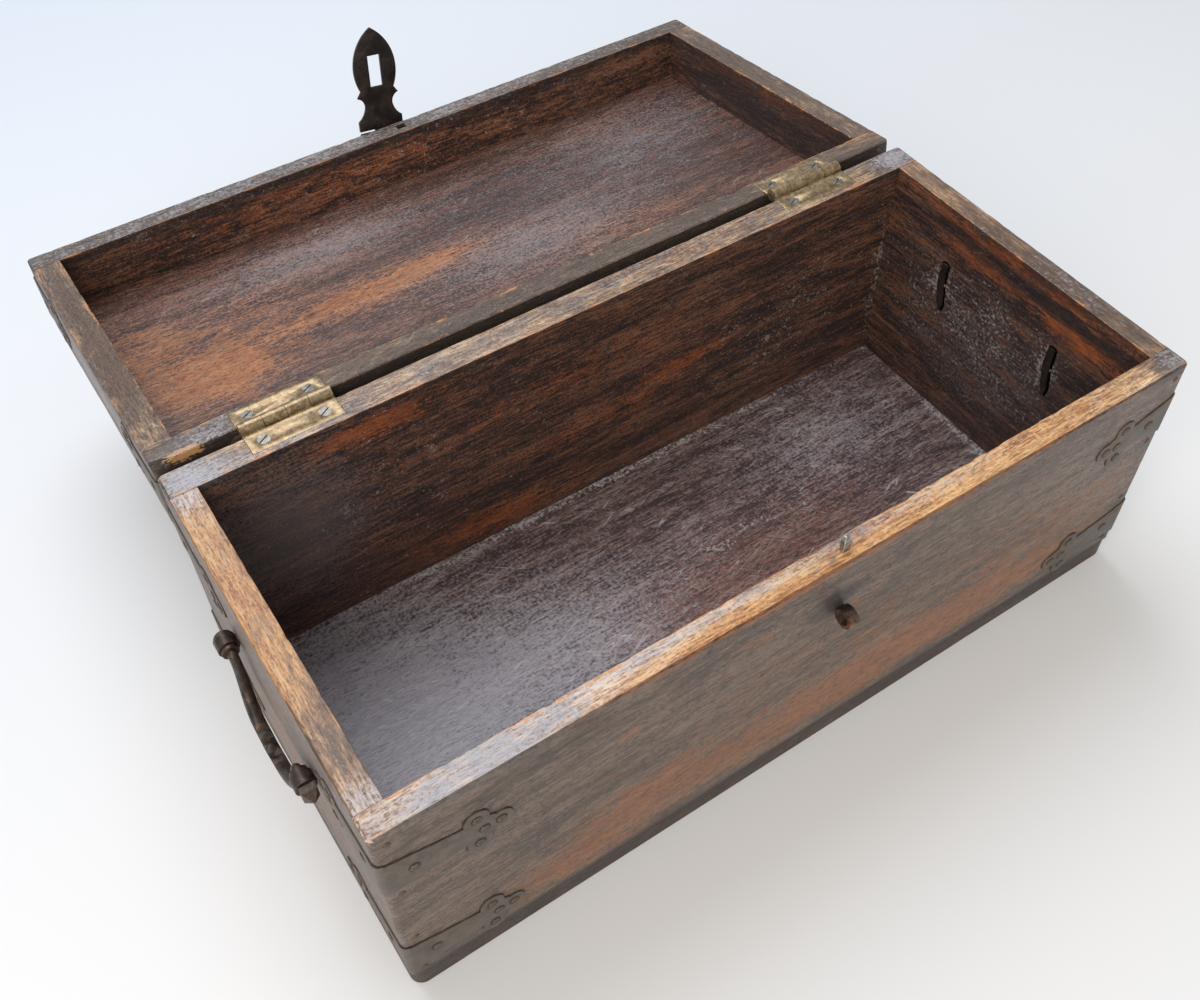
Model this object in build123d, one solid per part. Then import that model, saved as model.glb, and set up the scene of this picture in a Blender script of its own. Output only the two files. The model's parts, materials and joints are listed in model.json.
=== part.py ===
from build123d import *
import os
from math import cos, radians, sin

# A small iron-bound wooden storage chest with a hinged lid, a hasp and two drop handles.
# Millimetres. The origin is the centre of the underside, +X runs along the length,
# +Y to the back and +Z up. The lid stands open, tipped back past flat, as it rests in use.

# Overall size of the box and its lid
length = 484.0
depth = 230.0
body_height = 166.2
lid_height = 50.0

# Boards
bottom_thickness = 15.3
wall_thickness = 14.0
back_thickness = 17.6
end_thickness = 14.7
lid_top_thickness = 14.7
lid_wall_thickness = 14.9
lid_end_thickness = 16.5
bottom_corner_radius = 7.0
lid_corner_radius = 4.0
corner_wear = 3.0
lid_corner_wear = 2.5
edge_wear = 0.8
rim_wear = 1.2
chip_length = 20.0
chip_rise = 7.0
chip_bite = 4.5

# Butt hinges let into the rims
rim_gap = 1.0
hinge_offset = 4.1
hinge_inset = 46.0
leaf_length = 51.0
leaf_thickness = 1.8
leaf_land = 4.0
leaf_clearance = 0.2
knuckle_radius = 3.8
knuckle_count = 4
knuckle_gap = 0.3
hinge_pin_radius = 1.8
running_clearance = 0.06
lid_open_angle = 187.1

# Slotted countersunk screws
screw_head_radius = 3.4
screw_head_height = 1.6
screw_shank_radius = 1.3
screw_length = 12.0
screw_slot_width = 0.8
screw_slot_depth = 0.7
screw_end_distance = 8.5
screw_seat_clearance = 0.05

# Trefoil corner straps
strap_thickness = 0.8
strap_reach = 64.0
short_strap_reach = 54.0
strap_root_width = 28.0
strap_neck_width = 15.0
strap_head_radius = 9.0
strap_tip_radius = 6.0
strap_tip_distance = 8.5
strap_lobe_radius = 6.5
strap_lobe_spread = 10.5
strap_lobe_setback = 3.0
strap_sag = 4.5
strap_root_nail = 15.5
strap_hole_clearance = 0.15
upper_strap_drop = 37.5
lower_strap_height = 38.0
lid_strap_height = 26.0

# Hand-made nails
strap_nail_radius = 2.5
strap_nail_head = 0.6
nail_shank = 1.8
strap_nail_length = 12.0
board_nail_radius = 2.0
board_nail_head = 0.5
board_nail_length = 24.0
board_nail_edge = 9.0
board_nail_from_strap = 6.5
board_nail_set = 0.2
flat_nail_count = 6
flat_nail_inset = 40.0

# Cotter eyes, with two legs driven through the board and clenched inside
eye_outer_radius = 5.6
eye_bore_radius = 3.7
eye_stand_off = 5.8
eye_leg_width = 5.0
eye_leg_thickness = 1.5
eye_leg_clearance = 0.15
clench_up = 16.0
clench_down = 19.0
clench_slant = 11.0
clench_end_width = 4.4
clench_blunt = 0.5
clench_point = 5.0
handle_eye_width = 7.0
handle_eye_spacing = 89.0
handle_drop = 55.0
staple_eye_width = 6.0
staple_x = 7.3
staple_drop = 38.0

# Drop handles
bail_shaft_radius = 3.1
bail_neck_radius = 2.6
bail_middle_radius = 3.5
bail_depth = 33.0
bail_bow_exponent = 3.0
bail_bend_radius = 3.4
bail_bulge = 3.0
bail_collar_radius = 4.5
bail_collar_width = 2.0
bail_end_play = 0.6
bail_button_radius = 4.7
bail_button_height = 2.4
finial_width = 7.9
finial_block = 3.8
finial_point = 4.5
finial_tip = 0.8

# Hasp, its hinge plate and pin
hasp_length = 71.4
hasp_thickness = 1.8
hasp_plate_thickness = 1.2
hasp_knuckle_radius = 4.0
hasp_pin_radius = 1.5
hasp_half_width = 15.7
hasp_base_reach = 10.8
hasp_waist = 9.8
hasp_waist_reach = 19.9
hasp_hollow = 11.4
hasp_flare = 11.1
hasp_flare_reach = 24.4
hasp_barb = 14.6
hasp_barb_reach = 26.8
hasp_neck = 11.8
hasp_neck_reach = 30.8
hasp_belly = 14.9
hasp_belly_reach = 46.6
hasp_slot_width = 8.7
hasp_slot_near = 32.8
hasp_slot_far = 53.6
hasp_pivot_height = 8.0
hasp_pivot_x = 1.2
hasp_cant = 7.2
hasp_lean = 5.0
hasp_plate_height = 27.0
hasp_plate_shoulder = 16.0
hasp_plate_sweep = 20.0
hasp_peak_nail = 19.0
hasp_end_gap = 0.4

# Locating pin between the rims
pin_x = 10.0
pin_width = 4.5
pin_thickness = 3.0
pin_above = 10.5
pin_below = 12.0
pin_point = 2.0
pin_hole_clearance = 1.1

# Places worked out from the sizes above
lid_rim = body_height + rim_gap
lid_top = lid_rim + lid_height
lid_wall_height = lid_height - lid_top_thickness
wall_height = body_height - bottom_thickness
hinge_y = depth / 2 + hinge_offset
hinge_z = body_height + rim_gap / 2
hinge_axis = Axis((0, hinge_y, hinge_z), (1, 0, 0))
hinge_centre = length / 2 - hinge_inset - leaf_length / 2
leaf_front = depth / 2 - back_thickness + leaf_land
wall_sizes = {-1: wall_thickness, 1: back_thickness}


def block(x_size, y_size, z_size, x, y, z_low):
    """A board centred on x and y, standing on z_low."""
    return Pos(x, y, z_low + z_size / 2) * Box(x_size, y_size, z_size)


def opened(shape):
    """A piece of the closed lid, swung back with the lid."""
    return shape.rotate(hinge_axis, -lid_open_angle)


def group(shapes):
    """Separate solids that share one node."""
    return Compound(children=[Solid(piece.solid().wrapped) for piece in shapes])


def corner_copy(shape, side_x, side_y, height):
    """A piece made at a front left corner, taken to the corner on the given sides."""
    if side_x > 0:
        shape = shape.mirror(Plane.YZ)
    if side_y > 0:
        shape = shape.mirror(Plane.XZ)
    return Pos(side_x * length / 2, side_y * depth / 2, height) * shape


corners = {
    "front_left": (-1, -1),
    "front_right": (1, -1),
    "back_left": (-1, 1),
    "back_right": (1, 1),
}


# Boards of the body

def bottom_board():
    """The floor, which carries the walls and has its corners worn round."""
    plan = RectangleRounded(length, depth, bottom_corner_radius)
    board = extrude(plan, amount=bottom_thickness)
    return chamfer(board.edges().group_by(Axis.Z)[0], edge_wear)


def long_wall(side_y):
    """The front or back wall, which runs the full length, with its rim edges worn."""
    size = wall_sizes[side_y]
    y = side_y * (depth - size) / 2
    wall = block(length, size, wall_height, 0, y, bottom_thickness)
    wall = rounded_corners(wall, side_y, corner_wear)
    rim = wall.edges().filter_by(Axis.X).group_by(Axis.Z)[-1]
    return chamfer(rim.sort_by(Axis.Y)[0 if side_y < 0 else -1], rim_wear)


def rounded_corners(wall, side_y, radius):
    """The two upright outer corners of a long board, worn round."""
    upright = wall.edges().filter_by(Axis.Z)
    return fillet(upright.group_by(Axis.Y)[0 if side_y < 0 else -1], radius)


def end_wall(side_x):
    """An end wall, which butts between the long walls, with holes for two handle eyes."""
    x = side_x * (length - end_thickness) / 2
    y_size = depth - wall_thickness - back_thickness
    y = (wall_thickness - back_thickness) / 2
    wall = block(end_thickness, y_size, wall_height, x, y, bottom_thickness)
    rim = wall.edges().filter_by(Axis.Y).group_by(Axis.Z)[-1]
    wall = chamfer(rim.sort_by(Axis.X)[0 if side_x < 0 else -1], rim_wear)
    for side_y in (-1, 1):
        face = handle_face(side_x, side_y * handle_eye_spacing / 2)
        wall -= leg_hole(end_thickness).moved(face.location)
    return wall


def leaf_recess(x, z_low):
    """The shallow seat cut across a rim for one hinge leaf."""
    cut = leaf_length + 2 * leaf_clearance
    y_low = leaf_front - leaf_clearance
    y_high = hinge_y
    return block(cut, y_high - y_low, leaf_thickness, x, (y_low + y_high) / 2, z_low)


def front_wall():
    """The front wall, with the holes for the staple's legs and the locating pin."""
    wall = long_wall(-1)
    wall -= leg_hole(wall_thickness).moved(staple_face().location)
    return wall - pin_shape(0.0)


def back_wall():
    """The back wall, with a seat for each hinge leaf in its rim."""
    wall = long_wall(1)
    for side_x in (-1, 1):
        wall -= leaf_recess(side_x * hinge_centre, body_height - leaf_thickness)
    return wall


# Boards of the lid, drawn closed

def lid_top_board():
    """The top of the lid, with its outer edges rounded over by wear."""
    plan = RectangleRounded(length, depth, lid_corner_radius)
    board = Pos(0, 0, lid_top - lid_top_thickness) * extrude(plan, amount=lid_top_thickness)
    return chamfer(board.edges().group_by(Axis.Z)[-1], rim_wear)


def lid_long_wall(side_y):
    """The front or back board of the lid."""
    y = side_y * (depth - lid_wall_thickness) / 2
    wall = block(length, lid_wall_thickness, lid_wall_height, 0, y, lid_rim)
    wall = rounded_corners(wall, side_y, lid_corner_wear)
    rim = wall.edges().filter_by(Axis.X).group_by(Axis.Z)[0]
    return chamfer(rim.sort_by(Axis.Y)[0 if side_y < 0 else -1], edge_wear)


def lid_front_wall():
    """The lid's front board, with the hole that takes the locating pin."""
    return lid_long_wall(-1) - pin_shape(pin_hole_clearance)


def lid_back_wall():
    """The lid's back board, seated for two leaves and chipped at its left corner."""
    wall = lid_long_wall(1)
    for side_x in (-1, 1):
        wall -= leaf_recess(side_x * hinge_centre, lid_rim)
    near = Plane(origin=(-length / 2 - 1, depth / 2, lid_rim), x_dir=(0, 1, 0), z_dir=(1, 0, 0))
    far = near.offset(chip_length + 1)
    bite = Polygon((-chip_bite, -1), (1, -1), (1, chip_rise), align=None)
    run_out = Polygon((-0.2, -1), (1, -1), (1, 0.3), align=None)
    return wall - loft([near * bite, far * run_out])


def lid_end_wall(side_x):
    """An end board of the lid, which butts between its long boards."""
    x = side_x * (length - lid_end_thickness) / 2
    y_size = depth - 2 * lid_wall_thickness
    wall = block(lid_end_thickness, y_size, lid_wall_height, x, 0, lid_rim)
    rim = wall.edges().filter_by(Axis.Y).group_by(Axis.Z)[0]
    return chamfer(rim.sort_by(Axis.X)[0 if side_x < 0 else -1], edge_wear)


# Butt hinges

def screw(head_extra=0.0, slotted=True):
    """A countersunk wood screw pointing down, its head flush with z = 0."""
    head = Pos(0, 0, -screw_head_height / 2) * Cone(
        screw_shank_radius + head_extra, screw_head_radius + head_extra, screw_head_height
    )
    shank_length = screw_length - screw_head_height
    shank = Pos(0, 0, -screw_head_height - shank_length / 2) * Cone(
        screw_shank_radius / 3, screw_shank_radius + head_extra, shank_length
    )
    whole = head + shank
    if slotted:
        slot = Box(3 * screw_head_radius, screw_slot_width, 2 * screw_slot_depth)
        whole -= slot.rotate(Axis.Z, 30)
    return whole


def screw_places():
    """The two screws of one leaf, seen from the middle of its seat."""
    x = leaf_length / 2 - screw_end_distance
    y = (leaf_front + depth / 2) / 2
    return [(-x, y), (x, y)]


def hinge_leaf(centre, plate_low, knuckle_side, bore_radius, flip):
    """A leaf with every second knuckle, and the two screw seats in its plate."""
    pitch = leaf_length / knuckle_count
    back_edge = hinge_y - knuckle_radius - knuckle_gap
    plate = block(leaf_length, back_edge - leaf_front, leaf_thickness,
                  centre, (leaf_front + back_edge) / 2, plate_low)
    for number in range(knuckle_side, knuckle_count, 2):
        x = centre - leaf_length / 2 + (number + 0.5) * pitch
        width = pitch - knuckle_gap
        tongue = block(width, hinge_y - back_edge, leaf_thickness,
                       x, (back_edge + hinge_y) / 2, plate_low)
        barrel = Pos(x, hinge_y, hinge_z) * Rot(0, 90, 0) * Cylinder(knuckle_radius, width)
        plate += tongue
        plate += barrel
    plate -= Pos(centre, hinge_y, hinge_z) * Rot(0, 90, 0) * Cylinder(bore_radius, 2 * leaf_length)
    for x, y in screw_places():
        seat = screw(screw_seat_clearance, slotted=False)
        plate -= screw_at(seat, centre + x, y, plate_low, flip)
    return plate


def screw_at(shape, x, y, plate_low, flip):
    """A screw in the chest's leaf points down, and one in the lid's leaf points up."""
    if flip:
        return Pos(x, y, plate_low) * Rot(180, 0, 0) * shape
    return Pos(x, y, plate_low + leaf_thickness) * shape


def hinge_screws(plate_low, flip):
    """The four screws of the two leaves on one side."""
    places = [(side * hinge_centre + x, y) for side in (-1, 1) for x, y in screw_places()]
    return [screw_at(screw(), x, y, plate_low, flip) for x, y in places]


def hinge_pin(side_x):
    """The pin, which stays in the chest's knuckles."""
    pin = Cylinder(hinge_pin_radius, leaf_length)
    return Pos(side_x * hinge_centre, hinge_y, hinge_z) * Rot(0, 90, 0) * pin


# Corner straps and nails

def strap_head(reach):
    """The centre of the trefoil head on an arm of the given reach."""
    return reach - strap_tip_radius - strap_tip_distance


def strap_lobes(reach):
    """The round parts of the head: each a place along and across, and a radius."""
    head = strap_head(reach)
    side = head - strap_lobe_setback
    return [
        (head, -strap_sag, strap_head_radius),
        (head + strap_tip_distance, -strap_sag, strap_tip_radius),
        (side, strap_lobe_spread - strap_sag, strap_lobe_radius),
        (side, -strap_lobe_spread - strap_sag, strap_lobe_radius),
    ]


def strap_nail_places(reach):
    """A nail near the corner and one in each round part of the head."""
    places = [(strap_root_nail, -strap_sag * strap_root_nail / strap_head(reach))]
    return places + [(along, across) for along, across, radius in strap_lobes(reach)]


def strap_arm(reach, bend):
    """The outline of one arm, a waisted band that ends in a trefoil, through the bend."""
    root = strap_root_width / 2
    neck = strap_neck_width / 2
    start = -strap_thickness
    end = strap_head(reach)
    middle = 0.55 * end
    drop = strap_sag * middle / end
    half = (root + 2 * neck) / 3
    upper = ThreePointArc((start, root), (middle, half - drop), (end, neck - strap_sag))
    lower = ThreePointArc((start, -root), (middle, -half - drop), (end, -neck - strap_sag))
    close = Line((start, root), (start, -root))
    across_head = Line((end, neck - strap_sag), (end, -neck - strap_sag))
    outline = make_face(upper + lower + close + across_head)
    for along, across, radius in strap_lobes(reach):
        outline += Pos(along, across) * Circle(radius)
    hole = nail_shank + 2 * strap_hole_clearance
    for along, across in strap_nail_places(reach):
        outline -= Pos(along, across) * Rectangle(hole, hole)
    return extrude(Plane.XZ.offset(-bend) * outline, amount=bend + strap_thickness)


def end_arm(shape):
    """The twin, on the end wall, of a piece made on the front arm."""
    return shape.mirror(Plane(origin=(0, 0, 0), z_dir=(1, -1, 0)))


def bent_sheet(bend):
    """Sheet iron bent round a corner, before the outlines are cut from it."""
    outer = bend + strap_thickness
    far = strap_reach + outer
    near = bend * (1 - sin(radians(45)))
    out = bend - outer * sin(radians(45))
    low = -strap_thickness
    edges = [
        Line((far, low), (bend, low)),
        ThreePointArc((bend, low), (out, out), (low, bend)),
        Polyline((low, bend), (low, far), (0, far), (0, bend)),
        ThreePointArc((0, bend), (near, near), (bend, 0)),
        Polyline((bend, 0), (far, 0), (far, low)),
    ]
    tall = 2 * strap_root_width
    return Pos(0, 0, -tall / 2) * extrude(make_face(Curve() + edges), amount=tall)


def corner_strap(front_reach, bend):
    """A strap bent round a front left corner, as round as the worn corner under it."""
    sheet = bent_sheet(bend)
    return (sheet & strap_arm(front_reach, bend)) + (sheet & end_arm(strap_arm(strap_reach, bend)))


def nail(radius, head, shaft):
    """A hand-made nail pointing down, its six-sided head standing on z = 0."""
    cap = extrude(RegularPolygon(radius, 6), amount=head, taper=35)
    shank = Pos(0, 0, -shaft / 2) * Box(nail_shank, nail_shank, shaft)
    return cap + shank


def arm_nails(reach):
    """The five nails of one arm on the front wall."""
    nails = []
    strap_nail = nail(strap_nail_radius, strap_nail_head, strap_nail_length)
    for along, across in strap_nail_places(reach):
        face = Plane(origin=(along, -strap_thickness, across), x_dir=(1, 0, 0), z_dir=(0, -1, 0))
        nails.append(face.location * strap_nail)
    return nails


def strap_nails(front_reach):
    """The ten nails of one strap at a front left corner."""
    return arm_nails(front_reach) + [end_arm(one) for one in arm_nails(strap_reach)]


def wall_nails(heights, half_end):
    """The nails through the long walls into the ends of the short ones."""
    nails = []
    board_nail = nail(board_nail_radius, board_nail_head, board_nail_length)
    for side_x, side_y in corners.values():
        for height in heights:
            face = Plane(origin=(half_end, 0, 0), x_dir=(1, 0, 0), z_dir=(0, -1, 0))
            nails.append(corner_copy(face.location * board_nail, side_x, side_y, height))
    return nails


def flat_nails(z, up):
    """The nails through a flat board into the long walls, spaced along the length."""
    nails = []
    board_nail = nail(board_nail_radius, board_nail_head, board_nail_length)
    turn = 0 if up else 180
    pitch = (length - 2 * flat_nail_inset) / (flat_nail_count - 1)
    for side_y in (-1, 1):
        for number in range(flat_nail_count):
            x = -length / 2 + flat_nail_inset + number * pitch
            y = side_y * (depth - wall_sizes[side_y]) / 2
            nails.append(Pos(x, y, z) * Rot(turn, 0, 0) * board_nail)
    return nails


# Cotter eyes and the locating pin

def clenched_leg(reach, turn, point):
    """The end of a leg, bent flat against the inside of the board and cut to a chisel point."""
    root = eye_leg_width / 2
    end = clench_end_width / 2
    shape = Polygon((-root, 0), (root, 0), (end, reach - point), (0.3 * end, reach),
                    (-0.5 * end, reach), (-end, reach - point), align=None)
    return extrude(shape, amount=-eye_leg_thickness).rotate(Axis.Z, turn)


def cotter_eye(width, board):
    """A band bent into an eye: outward is +Z, the bore runs along X, legs go down -Z."""
    ring = Cylinder(eye_outer_radius, width) - Cylinder(eye_bore_radius, 2 * width)
    eye = Pos(0, 0, eye_stand_off) * Rot(0, 90, 0) * ring
    top = eye_stand_off - (eye_outer_radius + eye_bore_radius) / 2
    shank = Pos(0, 0, (top - board) / 2) * Box(eye_leg_width, 2 * eye_leg_thickness, top + board)
    eye += shank
    for reach, turn, point in (
        (clench_up, 0, clench_blunt), (clench_down, 180 - clench_slant, clench_point)
    ):
        eye += Pos(0, 0, -board) * clenched_leg(reach, turn, point)
    return eye


def leg_hole(board):
    """The hole that a cotter's two legs pass through."""
    x_size = eye_leg_width + 2 * eye_leg_clearance
    y_size = 2 * (eye_leg_thickness + eye_leg_clearance)
    return Box(x_size, y_size, 3 * board)


def handle_face(side_x, y):
    """The place of a handle eye on an end wall, with Z outward and X along the bore."""
    height = body_height - handle_drop
    return Plane(origin=(side_x * length / 2, y, height),
                 x_dir=(0, side_x, 0), z_dir=(side_x, 0, 0))


def staple_face():
    """The place of the staple on the front wall."""
    return Plane(origin=(staple_x, -depth / 2, body_height - staple_drop),
                 x_dir=(1, 0, 0), z_dir=(0, -1, 0))


def pin_shape(clearance):
    """The flat locating pin with a blunt point, grown by a clearance for its hole."""
    x_size = pin_width + 2 * clearance
    y_size = pin_thickness + 2 * clearance
    y = -depth / 2 + wall_thickness / 2
    shaft = block(x_size, y_size, pin_below + pin_above - pin_point, pin_x, y,
                  body_height - pin_below)
    tip_face = Pos(pin_x, y, body_height + pin_above - pin_point) * Rectangle(x_size, y_size)
    tip_top = Pos(pin_x, y, body_height + pin_above + clearance) * Rectangle(
        x_size / 2, y_size / 2
    )
    return shaft + loft([tip_face, tip_top])


# Drop handles

def bail_centre(turn):
    """A point on the rod: -1 to 1 is the bow, front to back, and the rest the bends to its ends."""
    side = 1 if turn > 0 else -1
    half_span = handle_eye_spacing / 2 - handle_eye_width / 2 - bail_end_play - bail_collar_width
    if abs(turn) > 1:
        angle = radians(90 * (2 - abs(turn)))
        y = half_span - bail_bend_radius * sin(angle)
        return Vector(0, side * y, bail_bend_radius * (cos(angle) - 1))
    angle = radians(90 * (1 - abs(turn)))
    power = 2 / bail_bow_exponent
    y = (half_span - bail_bend_radius) * cos(angle) ** power
    z = -bail_bend_radius - (bail_depth - bail_bend_radius) * sin(angle) ** power
    return Vector(bail_bulge * sin(angle) ** 2, side * y, z)


def bail_bow():
    """The rod between the collars, thick in the middle and drawn down to its ends."""
    half = [0.25, 0.5, 0.7, 0.86, 1, 1.5, 2]
    sections = []
    for turn in [-one for one in reversed(half)] + [0] + half:
        along = Vector(0, 1, 0)
        if abs(turn) < 2:
            along = bail_centre(turn + 0.02) - bail_centre(turn - 0.02)
        swell = max(1 - turn ** 2, 0)
        radius = bail_neck_radius + (bail_middle_radius - bail_neck_radius) * swell
        plane = Plane(origin=bail_centre(turn), x_dir=(1, 0, 0), z_dir=along)
        sections.append(plane * Circle(radius))
    return loft(sections)


def bail_end(side, knob):
    """One end: a collar, the shaft through the eye and the knob beyond it."""
    eye_half = handle_eye_width / 2 + bail_end_play
    collar = Pos(0, 0, -eye_half - bail_collar_width / 2) * Cylinder(
        bail_collar_radius, bail_collar_width
    )
    shaft = Cylinder(bail_shaft_radius, 2 * eye_half)
    whole = collar + shaft + Pos(0, 0, eye_half) * knob
    return Pos(0, side * handle_eye_spacing / 2, 0) * Rot(-90 * side, 0, 0) * whole


def finial():
    """The front knob: a square block drawn out to a four-sided point."""
    cube = Pos(0, 0, finial_block / 2) * Box(finial_width, finial_width, finial_block)
    base = Pos(0, 0, finial_block) * Rectangle(finial_width, finial_width)
    tip = Pos(0, 0, finial_block + finial_point) * Rectangle(finial_tip, finial_tip)
    return cube + loft([base, tip])


def button():
    """The back knob: the rod's end, hammered over to a low round head."""
    head = Pos(0, 0, bail_button_height / 2) * Cylinder(bail_button_radius, bail_button_height)
    return chamfer(head.edges().group_by(Axis.Z)[-1], bail_button_height / 2)


def bail():
    """A whole drop handle with its eyes' axis along Y through the origin."""
    return bail_bow() + bail_end(-1, finial()) + bail_end(1, button())


def placed_bail(side_x):
    """A handle hanging in its two eyes, with its outer side away from the box."""
    handle = bail() if side_x > 0 else bail().mirror(Plane.YZ)
    x = side_x * (length / 2 + eye_stand_off)
    return Pos(x, 0, body_height - handle_drop) * handle


# Hasp: Y runs from the pivot to the tip, Z is outward, X is along the pin

def hasp_place(lean):
    """The pivot on the closed lid's front, turned askew and leaning out."""
    pivot = (hasp_pivot_x, -depth / 2 - hasp_knuckle_radius, lid_rim + hasp_pivot_height)
    plane = Plane(origin=pivot, x_dir=(-1, 0, 0), z_dir=(0, -1, 0))
    return plane.location * Rot(0, 0, hasp_cant) * Rot(lean, 0, 0)


def hasp_side(side, shoulder):
    """The edge of the hasp on one side, from its shoulder to the tip."""
    base = (side * hasp_half_width, hasp_base_reach)
    waist = (side * hasp_waist, hasp_waist_reach)
    barb = (side * hasp_barb, hasp_barb_reach)
    neck = (side * hasp_neck, hasp_neck_reach)
    belly = (side * hasp_belly, hasp_belly_reach)
    tip = (0, hasp_length)
    hollow = (side * hasp_hollow, (hasp_base_reach + hasp_waist_reach) / 2)
    flare = (side * hasp_flare, hasp_flare_reach)
    return [
        Line((side * hasp_half_width, shoulder), base),
        ThreePointArc(base, hollow, waist),
        ThreePointArc(waist, flare, barb),
        Line(barb, neck),
        ThreePointArc(neck, belly, tip),
    ]


def hasp():
    """The pointed hasp plate, with its slot and middle knuckle."""
    shoulder = hasp_knuckle_radius + hasp_end_gap
    edges = hasp_side(-1, shoulder) + hasp_side(1, shoulder)
    edges.append(Line((-hasp_half_width, shoulder), (hasp_half_width, shoulder)))
    outline = make_face(Curve() + edges)
    slot_length = hasp_slot_far - hasp_slot_near
    outline -= Pos(0, (hasp_slot_near + hasp_slot_far) / 2) * Rectangle(
        hasp_slot_width, slot_length
    )
    outer = hasp_knuckle_radius
    plate = Pos(0, 0, outer - hasp_thickness) * extrude(outline, amount=hasp_thickness)
    width = hasp_middle_width() - 2 * hasp_end_gap
    tongue = Pos(0, shoulder / 2, outer - hasp_thickness / 2) * Box(
        width, shoulder, hasp_thickness
    )
    barrel = Rot(0, 90, 0) * Cylinder(outer, width)
    bore = Rot(0, 90, 0) * Cylinder(hasp_pin_radius + running_clearance, 2 * width)
    return plate + tongue + barrel - bore


def hasp_middle_width():
    """The share of the hasp's width that its own knuckle takes."""
    return 2 * hasp_half_width / 3


def hasp_plate():
    """The plate on the lid that carries the hasp, with an ogee head and two knuckles."""
    half = hasp_half_width
    gap = hasp_knuckle_radius + hasp_end_gap
    peak = (0, -hasp_plate_height)
    edges = [Line((-half, -gap), (half, -gap))]
    for side in (-1, 1):
        shoulder = (side * half, -hasp_plate_shoulder)
        middle = (side * half / 2, -hasp_plate_sweep)
        edges.append(Line((side * half, -gap), shoulder))
        edges.append(ThreePointArc(shoulder, middle, peak))
    outline = make_face(Curve() + edges)
    hole = nail_shank + 2 * strap_hole_clearance
    for x, y in hasp_nail_places():
        outline -= Pos(x, y) * Rectangle(hole, hole)
    low = -hasp_knuckle_radius
    plate = Pos(0, 0, low) * extrude(outline, amount=hasp_plate_thickness)
    side_width = (2 * half - hasp_middle_width()) / 2
    for side in (-1, 1):
        x = side * (half - side_width / 2)
        plate += Pos(x, -gap / 2, low + hasp_plate_thickness / 2) * Box(
            side_width, gap, hasp_plate_thickness
        )
        plate += Pos(x, 0, 0) * Rot(0, 90, 0) * Cylinder(hasp_knuckle_radius, side_width)
    return plate - Rot(0, 90, 0) * Cylinder(hasp_pin_radius, 4 * half)


def hasp_nail_places():
    """Three nails: two at the shoulders and one under the peak."""
    across = 0.6 * hasp_half_width
    near = -(hasp_knuckle_radius + hasp_end_gap + hasp_plate_shoulder) / 2
    return [(-across, near), (across, near), (0, -hasp_peak_nail)]


def hasp_nails():
    """The nails of the hasp plate."""
    top = -hasp_knuckle_radius + hasp_plate_thickness
    one = nail(strap_nail_radius, strap_nail_head, strap_nail_length)
    return group([opened(hasp_place(0) * Pos(x, y, top) * one) for x, y in hasp_nail_places()])


def hasp_pin():
    """The pin through the three knuckles of the hasp's hinge."""
    return Rot(0, 90, 0) * Cylinder(hasp_pin_radius, 2 * hasp_half_width)


# The whole chest, node by node

chest_leaf_low = body_height - leaf_thickness
strap_heights = {"upper": body_height - upper_strap_drop, "lower": lower_strap_height}
body_nail_heights = [
    bottom_thickness + board_nail_edge / 2,
    strap_heights["lower"] + strap_root_width / 2 + board_nail_from_strap,
    strap_heights["upper"] - strap_root_width / 2 - board_nail_from_strap,
    body_height - board_nail_edge,
]
lid_nail_heights = [lid_rim + board_nail_edge / 2]

nodes = {
    "bottom_board": bottom_board(),
    "front_board": front_wall(),
    "back_board": back_wall(),
    "left_end_board": end_wall(-1),
    "right_end_board": end_wall(1),
    "lid_top_board": opened(lid_top_board()),
    "lid_front_board": opened(lid_front_wall()),
    "lid_back_board": opened(lid_back_wall()),
    "lid_left_end_board": opened(lid_end_wall(-1)),
    "lid_right_end_board": opened(lid_end_wall(1)),
    "locating_pin": pin_shape(0.0),
    "staple": staple_face().location * cotter_eye(staple_eye_width, wall_thickness),
    "hasp": opened(hasp_place(hasp_lean) * hasp()),
    "hasp_plate": opened(hasp_place(0) * hasp_plate()),
    "hasp_pin": opened(hasp_place(0) * hasp_pin()),
    "hasp_plate_nails": hasp_nails(),
}

chest_strap_nails = []
lid_strap_nails = []
for corner, (side_x, side_y) in corners.items():
    for level, height in strap_heights.items():
        node = f"{level}_strap_{corner}"
        reach = short_strap_reach if node == "upper_strap_front_right" else strap_reach
        nodes[node] = corner_copy(corner_strap(reach, corner_wear), side_x, side_y, height)
        for piece in strap_nails(reach):
            chest_strap_nails.append(corner_copy(piece, side_x, side_y, height))
    height = lid_rim + lid_strap_height
    strap = corner_copy(corner_strap(strap_reach, lid_corner_wear), side_x, side_y, height)
    nodes[f"lid_strap_{corner}"] = opened(strap)
    for piece in strap_nails(strap_reach):
        lid_strap_nails.append(opened(corner_copy(piece, side_x, side_y, height)))

nodes["chest_strap_nails"] = group(chest_strap_nails)
nodes["lid_strap_nails"] = group(lid_strap_nails)
nodes["chest_board_nails"] = group(
    wall_nails(body_nail_heights, end_thickness / 2)
    + flat_nails(board_nail_head + board_nail_set, False)
)
nodes["lid_board_nails"] = group(
    [opened(one) for one in wall_nails(lid_nail_heights, lid_end_thickness / 2)]
    + [opened(one) for one in flat_nails(lid_top, True)]
)

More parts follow.
